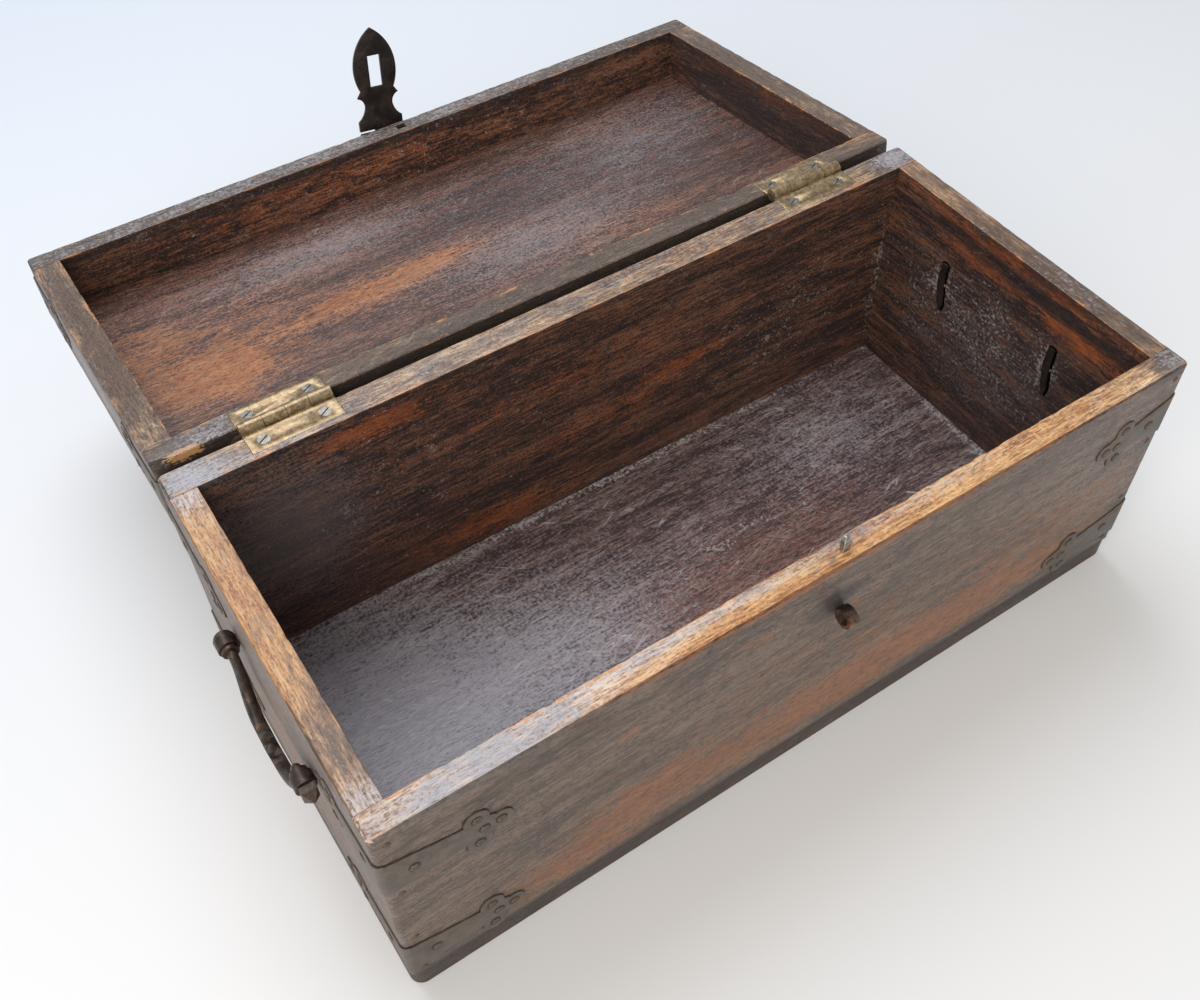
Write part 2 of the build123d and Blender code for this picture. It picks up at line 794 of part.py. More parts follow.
for side, side_x in (("left", -1), ("right", 1)):
    centre = side_x * hinge_centre
    nodes[f"{side}_chest_leaf"] = hinge_leaf(centre, chest_leaf_low, 0, hinge_pin_radius, False)
    nodes[f"{side}_lid_leaf"] = opened(
        hinge_leaf(centre, lid_rim, 1, hinge_pin_radius + running_clearance, True)
    )
    nodes[f"{side}_hinge_pin"] = hinge_pin(side_x)
    nodes[f"{side}_handle"] = placed_bail(side_x)
    for end, side_y in (("front", -1), ("back", 1)):
        face = handle_face(side_x, side_y * handle_eye_spacing / 2)
        eye = cotter_eye(handle_eye_width, end_thickness)
        nodes[f"{side}_handle_eye_{end}"] = face.location * eye

nodes["chest_hinge_screws"] = group(hinge_screws(chest_leaf_low, False))
nodes["lid_hinge_screws"] = group([opened(one) for one in hinge_screws(lid_rim, True)])

os.makedirs("parts", exist_ok=True)
for name, shape in nodes.items():
    export_step(shape, f"parts/{name}.step")
    print(name)
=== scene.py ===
# A small storage chest of dark stained teak, bound with iron corner straps.
# Its lid is tipped back open on two brass butt hinges, and it stands on a pale floor.
import json
import math

import bmesh
import bpy
from mathutils import Matrix, Vector, noise


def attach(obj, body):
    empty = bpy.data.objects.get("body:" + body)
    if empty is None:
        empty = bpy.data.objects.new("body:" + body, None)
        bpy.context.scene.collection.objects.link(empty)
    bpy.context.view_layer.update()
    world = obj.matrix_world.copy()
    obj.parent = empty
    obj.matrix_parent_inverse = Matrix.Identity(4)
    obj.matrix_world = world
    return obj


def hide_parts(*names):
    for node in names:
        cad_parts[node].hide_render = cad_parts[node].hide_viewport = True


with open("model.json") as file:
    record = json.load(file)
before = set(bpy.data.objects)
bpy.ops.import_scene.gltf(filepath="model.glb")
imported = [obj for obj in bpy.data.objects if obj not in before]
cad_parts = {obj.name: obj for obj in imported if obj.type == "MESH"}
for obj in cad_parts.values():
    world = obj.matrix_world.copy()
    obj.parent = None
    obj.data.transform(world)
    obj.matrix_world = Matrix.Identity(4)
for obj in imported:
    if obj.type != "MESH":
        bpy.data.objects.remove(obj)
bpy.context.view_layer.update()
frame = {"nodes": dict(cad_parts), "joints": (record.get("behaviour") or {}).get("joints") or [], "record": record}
print("frame loaded")

mm = 0.001


def linearColour(code):
    # sRGB hex to the linear colour that a shader takes
    parts = [int(code[place:place + 2], 16) / 255 for place in (1, 3, 5)]
    return [part / 12.92 if part < 0.04045 else ((part + 0.055) / 1.055) ** 2.4 for part in parts] + [1]


def addNode(tree, kind, settings=None, links=None, stops=None):
    # one shader node: its settings, what its sockets take, and a ramp's stops
    node = tree.nodes.new(kind)
    for name, value in (settings or {}).items():
        setattr(node, name, value)
    for socket, value in (links or {}).items():
        if isinstance(value, bpy.types.NodeSocket):
            tree.links.new(value, node.inputs[socket])
        else:
            node.inputs[socket].default_value = value
    for number, (place, code) in enumerate(stops or []):
        ramp = node.color_ramp.elements
        stop = ramp[number] if number < 2 else ramp.new(place)
        stop.position = place
        stop.color = linearColour(code)
    return node


def newMaterial(name):
    material = bpy.data.materials.new(name)
    material.use_nodes = True
    material.node_tree.nodes.clear()
    return material, material.node_tree


# Teak, sawn and planed by hand, stained dark and waxed, then handled for decades. The grain shows as
# fine short dashes and open pores. Where hands rub it the stain has gone to orange and ochre, the
# edges are worn bare and chipped, and a blue-grey film of dust and old wax lies on the flat parts,
# made paler in places by a painted sheen, the reflection of the bright room on the wax.

# Each pattern's size in mm, along the grain and twice across it, and how fine and how wavy it is. Real
# pores are about 0.3 mm wide, and they are drawn as coarse as they need to show.
teakPatterns = {
    "figure": {"size": (70, 9, 9), "detail": 3.0, "rough": 0.55, "twist": 0.6},
    "streak": {"size": (11, 1.1, 1.1), "detail": 4.0, "rough": 0.62, "twist": 0.3},
    "pores": {"size": (5, 0.75, 0.75), "detail": 2.0, "rough": 0.5, "twist": 0.0},
    "mottle": {"size": (20, 8, 8), "detail": 5.0, "rough": 0.62, "twist": 0.8},
    "fleck": {"size": (1.9, 1.9, 1.9), "detail": 3.0, "rough": 0.7, "twist": 0.0},
    "specks": {"size": (2.3, 2.3, 2.3), "detail": 5.0, "rough": 0.72, "twist": 0.0},
}
scratchPattern = {"size": (110, 5, 5), "detail": 1.0, "rough": 0.3, "twist": 0.2}
scratchTurns = (22, -38)  # degrees off the grain

# What each pattern adds to a layer, and the sums between which the layer fades in. The gap to an edge
# is in mm.
teakLayers = {
    "stainRubbedThin": {
        "adds": {"warm": 1.0, "mottle": 1.5, "streak": 0.7, "fleck": 0.8}, "fades": (1.6, 2.05)},
    "dirtAndShade": {"adds": {"dark": 1.0, "mottle": 1.0, "fleck": 0.6}, "fades": (0.84, 1.2)},
    "openPore": {"adds": {"pores": 1.0}, "fades": (0.44, 0.35)},
    "waxFilmAndSheen": {"adds": {"grey": 1.0, "mottle": 0.4, "fleck": 1.0, "streak": 0.45}, "fades": (1.02, 1.46)},
    "paleSpeck": {"adds": {"specks": 1.0, "flecked": 0.3, "mottle": 0.4}, "fades": (0.86, 0.96)},
    "scratchedPart": {"adds": {"mottle": 1.0, "figure": 0.8}, "fades": (0.9, 1.05)},
    "scratchLine": {"adds": {"course": 1.0}, "fades": (0.011, 0.003)},
    "bareEdge": {"adds": {"gap": 1.0, "mottle": 12.0, "fleck": 7.0}, "fades": (10.1, 8.0)},
    "tornFibre": {"adds": {"torn": 1.0, "fleck": 0.7, "streak": 1.1}, "fades": (1.3, 1.42)},
}
teakTone = {"streak": 0.42, "figure": 0.28, "fleck": 0.3}
teakStops = {"deep": 0.435, "body": 0.5, "light": 0.565, "rust": 0.42, "ochre": 0.6}
teakHeights = {"streak": 0.7, "fleck": 0.6, "openPore": -0.5, "specks": 0.25}
# How much of a layer shows, how far the roughness goes with the mottle and the film, and the bump.
teakShares = {
    "dirtAndShadeMost": 0.85, "bareEdge": 0.75, "roughSpread": 0.3, "roughDrop": 0.1, "filmSmooth": 0.1,
    "bump": 0.6,
}

# The film colour of each finish is partly dust and old wax and partly painted sheen, the reflection of the bright
# room on the wax; on the rims and the chest's floor it is mostly painted sheen.
woodFinishes = {
    "outerTeak": {
        "deep": "#41352c", "body": "#655244", "light": "#806a58", "rust": "#8e5429", "ochre": "#9f693b",
        "pore": "#241b16", "grime": "#2b221c", "film": "#857f78", "speck": "#8d867d", "edge": "#8f6b48",
        "torn": "#c08f5e", "filmShare": 0.42, "warmShare": 0.85, "dustShare": 0.4, "poreShare": 0.75,
        "grimeBase": 0.04, "hazeBase": 0.0, "scratchShare": 0.12, "relief": 0.8 * mm,
        "roughness": 0.48, "wax": 0.18, "waxRough": 0.3, "bloom": 0.08,
    },
    "rimTeak": {
        "deep": "#70533e", "body": "#a88363", "light": "#d2b08a", "rust": "#ab6a32", "ochre": "#dba866",
        "pore": "#35261d", "grime": "#463a33", "film": "#bfbec4", "speck": "#dcdad8", "edge": "#d3935a",
        "torn": "#bb9272", "filmShare": 0.68, "warmShare": 0.8, "dustShare": 0.5, "poreShare": 0.45,
        "grimeBase": 0.06, "hazeBase": 0.0, "scratchShare": 0.1, "relief": 1.5 * mm,
        "roughness": 0.4, "wax": 0.45, "waxRough": 0.16, "bloom": 0.05,
    },
    "innerTeak": {
        "deep": "#1f120e", "body": "#4f3024", "light": "#85563a", "rust": "#a04b1b", "ochre": "#bb6c30",
        "pore": "#150d0a", "grime": "#1b110e", "film": "#7b716c", "speck": "#a89e97", "edge": "#a06334",
        "torn": "#a9754a", "filmShare": 0.5, "warmShare": 0.85, "dustShare": 0.8, "poreShare": 0.75,
        "grimeBase": 0.06, "hazeBase": 0.0, "scratchShare": 0.25, "relief": 0.8 * mm,
        "roughness": 0.46, "wax": 0.2, "waxRough": 0.3, "bloom": 0.1,
    },
    "floorTeak": {
        "deep": "#4c3938", "body": "#77605a", "light": "#a08b84", "rust": "#84432f", "ochre": "#a06c52",
        "pore": "#2b2223", "grime": "#33292a", "film": "#cdc8cf", "speck": "#d2cecd", "edge": "#7a5d4e",
        "torn": "#a9754a", "filmShare": 0.6, "warmShare": 0.75, "dustShare": 0.7, "poreShare": 0.75,
        "grimeBase": 0.08, "hazeBase": 0.01, "scratchShare": 0.7, "relief": 0.9 * mm,
        "roughness": 0.4, "wax": 0.3, "waxRough": 0.25, "bloom": 0.1,
    },
    "lidTeak": {
        "deep": "#3a241d", "body": "#624034", "light": "#855a48", "rust": "#a05829", "ochre": "#c2844a",
        "pore": "#241612", "grime": "#2c1c17", "film": "#958c8b", "speck": "#aba19a", "edge": "#a26a3e",
        "torn": "#c08f5e", "filmShare": 0.66, "warmShare": 0.85, "dustShare": 0.4, "poreShare": 0.6,
        "grimeBase": 0.05, "hazeBase": 0.05, "scratchShare": 0.35, "relief": 0.7 * mm,
        "roughness": 0.42, "wax": 0.3, "waxRough": 0.28, "bloom": 0.05,
    },
}
# the bottom board's edges are blacker than the sides above them
woodFinishes["footTeak"] = {
    **woodFinishes["outerTeak"],
    "deep": "#2f1f18", "body": "#50392d", "light": "#6b4b3b", "edge": "#7d5337",
    "filmShare": 0.1, "wax": 0.08, "bloom": 0.0,
}
# the front rim is painted paler than the other rims, a painted highlight of the sheen of light on it
woodFinishes["frontRimTeak"] = {
    **woodFinishes["rimTeak"],
    "deep": "#8a674c", "body": "#cfa47c", "light": "#f6d6aa", "rust": "#bd7638", "ochre": "#efbb75",
    "grimeBase": 0.0,
}
boardWords = ("gap", "warm", "dark", "grey", "flecked", "torn")  # what each point of a board carries


def stainedTeak(name, look):
    material, tree = newMaterial(name)
    place = addNode(tree, "ShaderNodeAttribute", {"attribute_name": "grain"}).outputs["Vector"]
    parts = {word: addNode(tree, "ShaderNodeAttribute", {"attribute_name": word}).outputs["Fac"]
             for word in boardWords}

    def pattern(kind, turn=0.0):
        # a cloudy pattern drawn out along the grain, or turned off it
        spread = addNode(tree, "ShaderNodeMapping", {"vector_type": "TEXTURE"}, {
            "Vector": place, "Scale": [part * mm for part in kind["size"]],
            "Rotation": (0, 0, math.radians(turn))})
        return addNode(tree, "ShaderNodeTexNoise", {"noise_dimensions": "3D"}, {
            "Vector": spread.outputs["Vector"], "Scale": 1.0, "Detail": kind["detail"],
            "Roughness": kind["rough"], "Distortion": kind["twist"]}).outputs["Fac"]

    def addUp(total, shares):
        for word, share in shares.items():
            total = addNode(tree, "ShaderNodeMath", {"operation": "MULTIPLY_ADD"}, {
                0: parts[word], 1: share, 2: total}).outputs["Value"]
        return total

    def showing(word, base=0.0, most=1.0):
        # how much of a layer shows, from what its patterns add up to
        low, high = teakLayers[word]["fades"]
        parts[word] = addNode(tree, "ShaderNodeMapRange", {"interpolation_type": "SMOOTHSTEP"}, {
            "Value": addUp(base, teakLayers[word]["adds"]), "From Min": low, "From Max": high,
            "To Max": most}).outputs["Result"]
        return parts[word]

    for word, kind in teakPatterns.items():
        parts[word] = pattern(kind)
    tone = addUp(0.0, teakTone)
    wood = addNode(tree, "ShaderNodeValToRGB", {}, {"Fac": tone}, [
        (teakStops[word], look[word]) for word in ("deep", "light", "body")]).outputs["Color"]
    rubbed = addNode(tree, "ShaderNodeValToRGB", {}, {"Fac": tone}, [
        (teakStops[word], look[word]) for word in ("rust", "ochre")]).outputs["Color"]

    # Stain rubbed thin, dirt and old polish with some painted shadow, open pores, a blue-grey film of dust
    # and wax with painted sheen, pale specks, then long pale scratches, a few together, and last the edges
    # worn to bare wood and torn fibres.
    coats = [
        (showing("stainRubbedThin", most=look["warmShare"]), rubbed),
        (showing("dirtAndShade", look["grimeBase"], teakShares["dirtAndShadeMost"]), linearColour(look["grime"])),
        (showing("openPore", most=look["poreShare"]), linearColour(look["pore"])),
        (showing("waxFilmAndSheen", look["hazeBase"], look["filmShare"]), linearColour(look["film"])),
        (showing("paleSpeck", most=look["dustShare"]), linearColour(look["speck"])),
    ]
    scratched = showing("scratchedPart", most=look["scratchShare"])
    for turn in scratchTurns:
        # a scratch runs where the pattern passes its middle value
        past = addNode(tree, "ShaderNodeMath", {"operation": "SUBTRACT"}, {
            0: pattern(scratchPattern, turn), 1: 0.5}).outputs["Value"]
        parts["course"] = addNode(tree, "ShaderNodeMath", {"operation": "ABSOLUTE"}, {
            0: past}).outputs["Value"]
        coats.append((showing("scratchLine", most=scratched), linearColour(look["speck"])))
    coats += [
        (showing("bareEdge", most=teakShares["bareEdge"]), linearColour(look["edge"])),
        (showing("tornFibre"), linearColour(look["torn"])),
    ]
    for share, colour in coats:
        wood = addNode(tree, "ShaderNodeMix", {"data_type": "RGBA"}, {
            0: share, 6: wood, 7: colour}).outputs[2]

    rough = addUp(look["roughness"] - teakShares["roughDrop"], {
        "mottle": teakShares["roughSpread"], "waxFilmAndSheen": -teakShares["filmSmooth"]})
    poreDepth = teakHeights["openPore"] / look["poreShare"]  # a pore is as deep, however dark it is
    bump = addNode(tree, "ShaderNodeBump", {}, {
        "Height": addUp(0.0, {**teakHeights, "openPore": poreDepth}),
        "Strength": teakShares["bump"], "Distance": look["relief"]})
    shader = addNode(tree, "ShaderNodeBsdfPrincipled", {}, {
        "Base Color": wood, "Roughness": rough, "IOR": 1.5, "Normal": bump.outputs["Normal"],
        "Coat Weight": look["wax"], "Coat Roughness": look["waxRough"], "Coat IOR": 1.45,
        "Sheen Weight": look["bloom"], "Sheen Roughness": 0.5, "Sheen Tint": linearColour("#c9ccd2")})
    addNode(tree, "ShaderNodeOutputMaterial", {}, {"Surface": shader.outputs["BSDF"]})
    return material


woods = {name: stainedTeak(name, look) for name, look in woodFinishes.items()}

# Wrought iron, hammered out by hand, its scale gone brown-black and dull with grime. The straps are
# thin sheet rubbed over with the chest's own stain, and the nails that hold the boards are stained with
# the wood. The pin on the rim is rubbed bright. The hinges are cast brass gone brown, bright where
# rubbed, and their screws are grey. A dark line round the straps and a dark ring round the nails are
# grime and old stain with painted shade of the crevice at each strap's edge and of the pit round each
# nail head, and pale dust lies round the legs that are clenched inside. Spot, hammer and grit are the
# real sizes of rust spots, hammer marks and rough scale.

metalFinishes = {
    "strapIron": {
        "base": "#6a6158", "second": "#534940", "mark": "#7a5f47", "rub": "#8d7358", "rust": "#7a5034",
        "metallic": 0.2, "roughness": 0.5, "spot": 7 * mm, "hammer": 9 * mm, "relief": 0.25 * mm},
    "nailIron": {
        "base": "#5f564c", "second": "#3b342e", "mark": "#6b4a34", "rub": "#857058", "rust": "#7a5034",
        "metallic": 0.25, "roughness": 0.5, "spot": 2 * mm, "hammer": 3 * mm, "relief": 0.2 * mm},
    "boardNail": {
        "base": "#5c4d40", "second": "#463930", "mark": "#6b543f", "rub": "#7d6248", "rust": "#6f4d35",
        "metallic": 0.1, "roughness": 0.5, "spot": 3 * mm, "hammer": 4 * mm, "relief": 0.1 * mm},
    "rubbedIron": {
        "base": "#a09b93", "second": "#5c544c", "mark": "#c4bfb6", "rub": "#d6d2c9", "rust": "#7a5a42",
        "metallic": 0.6, "roughness": 0.38, "spot": 3 * mm, "hammer": 4 * mm, "relief": 0.1 * mm},
    "forgedIron": {
        "base": "#54483f", "second": "#2f2723", "mark": "#7d5b42", "rub": "#8f7a66", "rust": "#8a5c3c",
        "metallic": 0.45, "roughness": 0.42, "spot": 7 * mm, "hammer": 8 * mm, "relief": 0.12 * mm},
    "haspIron": {
        "base": "#3b332f", "second": "#241f1d", "mark": "#5e4334", "rub": "#5e5048", "rust": "#965a3c",
        "metallic": 0.4, "roughness": 0.48, "spot": 9 * mm, "hammer": 7 * mm, "relief": 0.25 * mm},
    "agedBrass": {
        "base": "#b09a76", "second": "#836c50", "mark": "#c2ad8c", "rub": "#f6dfae", "rust": "#6e5634",
        "metallic": 0.7, "roughness": 0.36, "spot": 3 * mm, "hammer": 16 * mm, "relief": 0.01 * mm},
    "greyScrew": {
        "base": "#98948a", "second": "#6b675f", "mark": "#b3ab99", "rub": "#c4beb0", "rust": "#7a6a50",
        "metallic": 0.8, "roughness": 0.4, "spot": 3 * mm, "hammer": 4 * mm, "relief": 0.05 * mm},
    "paleDust": {
        "base": "#d6cbbe", "second": "#8f8376", "mark": "#e2d9cd", "rub": "#d6cbbe", "rust": "#8f857a",
        "metallic": 0.0, "roughness": 0.8, "spot": 2.5 * mm, "hammer": 3 * mm, "relief": 0.1 * mm},
    # dark grime with painted shade, for the lines round the straps and the rings round the nails
    "grimeAndShade": {
        "base": "#3c312a", "second": "#2b231e", "mark": "#7d5635", "rub": "#8a623e", "rust": "#7d5635",
        "metallic": 0.0, "roughness": 0.65, "spot": 6 * mm, "hammer": 4 * mm, "relief": 0.1 * mm},
}
gritSize = 1.1 * mm
metalPatterns = {
    "spot": {"detail": 5.0, "rough": 0.65, "twist": 0.5},
    "grit": {"detail": 3.0, "rough": 0.7, "twist": 0.0},
    "hammer": {"detail": 1.0, "rough": 0.4, "twist": 0.0},
}
# The two things that make a layer of a metal's skin show where they meet, the products between which it
# fades in, and how much of it then shows.
metalLayers = {
    "mark": {"from": ("spot", "grit"), "curve": "SMOOTHSTEP", "fades": (0.27, 0.4), "most": 0.7},
    "rust": {"from": ("rusty", "spot"), "curve": "LINEAR", "fades": (0.25, 0.5), "most": 1.0},
    "rub": {"from": ("edge", "grit"), "curve": "LINEAR", "fades": (0.3, 0.6), "most": 1.0},
}
metalStops = {"second": 0.36, "base": 0.62}
metalShares = {"roughSpread": 0.3, "roughDrop": 0.15, "gritHeight": 0.25, "bump": 0.6}


def agedMetal(name, look):
    material, tree = newMaterial(name)
    place = addNode(tree, "ShaderNodeTexCoord").outputs["Object"]
    parts = {word: addNode(tree, "ShaderNodeAttribute", {"attribute_name": word}).outputs["Fac"]
             for word in ("edge", "rusty")}
    sizes = {"spot": look["spot"], "grit": gritSize, "hammer": look["hammer"]}
    for word, kind in metalPatterns.items():
        parts[word] = addNode(tree, "ShaderNodeTexNoise", {}, {
            "Vector": place, "Scale": 1 / sizes[word], "Detail": kind["detail"],
            "Roughness": kind["rough"], "Distortion": kind["twist"]}).outputs["Fac"]
    skin = addNode(tree, "ShaderNodeValToRGB", {}, {"Fac": parts["spot"]}, [
        (metalStops[word], look[word]) for word in ("second", "base")]).outputs["Color"]
    for word, layer in metalLayers.items():
        first, second = layer["from"]
        low, high = layer["fades"]
        both = addNode(tree, "ShaderNodeMath", {"operation": "MULTIPLY"}, {
            0: parts[first], 1: parts[second]}).outputs["Value"]
        share = addNode(tree, "ShaderNodeMapRange", {"interpolation_type": layer["curve"]}, {
            "Value": both, "From Min": low, "From Max": high, "To Max": layer["most"]}).outputs["Result"]
        skin = addNode(tree, "ShaderNodeMix", {"data_type": "RGBA"}, {
            0: share, 6: skin, 7: linearColour(look[word])}).outputs[2]
    rough = addNode(tree, "ShaderNodeMath", {"operation": "MULTIPLY_ADD"}, {
        0: parts["spot"], 1: metalShares["roughSpread"],
        2: look["roughness"] - metalShares["roughDrop"]}).outputs["Value"]
    height = addNode(tree, "ShaderNodeMath", {"operation": "MULTIPLY_ADD"}, {
        0: parts["grit"], 1: metalShares["gritHeight"], 2: parts["hammer"]}).outputs["Value"]
    bump = addNode(tree, "ShaderNodeBump", {}, {
        "Height": height, "Strength": metalShares["bump"], "Distance": look["relief"]})
    shader = addNode(tree, "ShaderNodeBsdfPrincipled", {}, {
        "Base Color": skin, "Metallic": look["metallic"], "Roughness": rough,
        "Normal": bump.outputs["Normal"]})
    addNode(tree, "ShaderNodeOutputMaterial", {}, {"Surface": shader.outputs["BSDF"]})
    return material


metals = {name: agedMetal(name, look) for name, look in metalFinishes.items()}
print("materials made")

# the turn that shuts the lid, because its boards are easier to describe shut
hinge = next(joint for joint in frame["joints"] if joint["name"] == "lid_hinge")
hingePoint = Matrix.Translation(Vector(hinge["pos_m"]))
hingeTurn = Matrix.Rotation(math.radians(hinge["range_deg"][1]), 4, Vector(hinge["axis"]))
lidShut = hingePoint @ hingeTurn @ hingePoint.inverted()
sameSpot = 1e-6  # metres, below which two points are one


def copyNode(name):
    # the CAD solid's faces, merged into one skin
    shape = bmesh.new()
    shape.from_mesh(frame["nodes"][name].data)
    bmesh.ops.remove_doubles(shape, verts=shape.verts, dist=sameSpot)
    return shape


def roundEdges(shape, width, steps, leastLength, leastAngle=28):
    # takes the sharpness off every edge that is long enough
    sharp = [edge for edge in shape.edges if len(edge.link_faces) == 2
             and edge.calc_face_angle(0) > math.radians(leastAngle) and edge.calc_length() > leastLength]
    made = bmesh.ops.bevel(shape, geom=sharp, offset=width, offset_type="OFFSET", segments=steps,
                           profile=0.5, affect="EDGES", clamp_overlap=True, material=-1)
    return made["faces"]


def finishPiece(shape, name, nodes, body, materials, smoothAngle=38):
    mesh = bpy.data.meshes.new(name)
    shape.to_mesh(mesh)
    shape.free()
    if "custom_normal" in mesh.attributes:
        mesh.attributes.remove(mesh.attributes["custom_normal"])
    for material in materials:
        mesh.materials.append(material)
    mesh.polygons.foreach_set("use_smooth", [True] * len(mesh.polygons))
    mesh.set_sharp_from_angle(angle=math.radians(smoothAngle))
    piece = bpy.data.objects.new(name, mesh)
    bpy.context.scene.collection.objects.link(piece)
    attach(piece, body)
    if nodes:
        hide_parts(*nodes)
    return piece
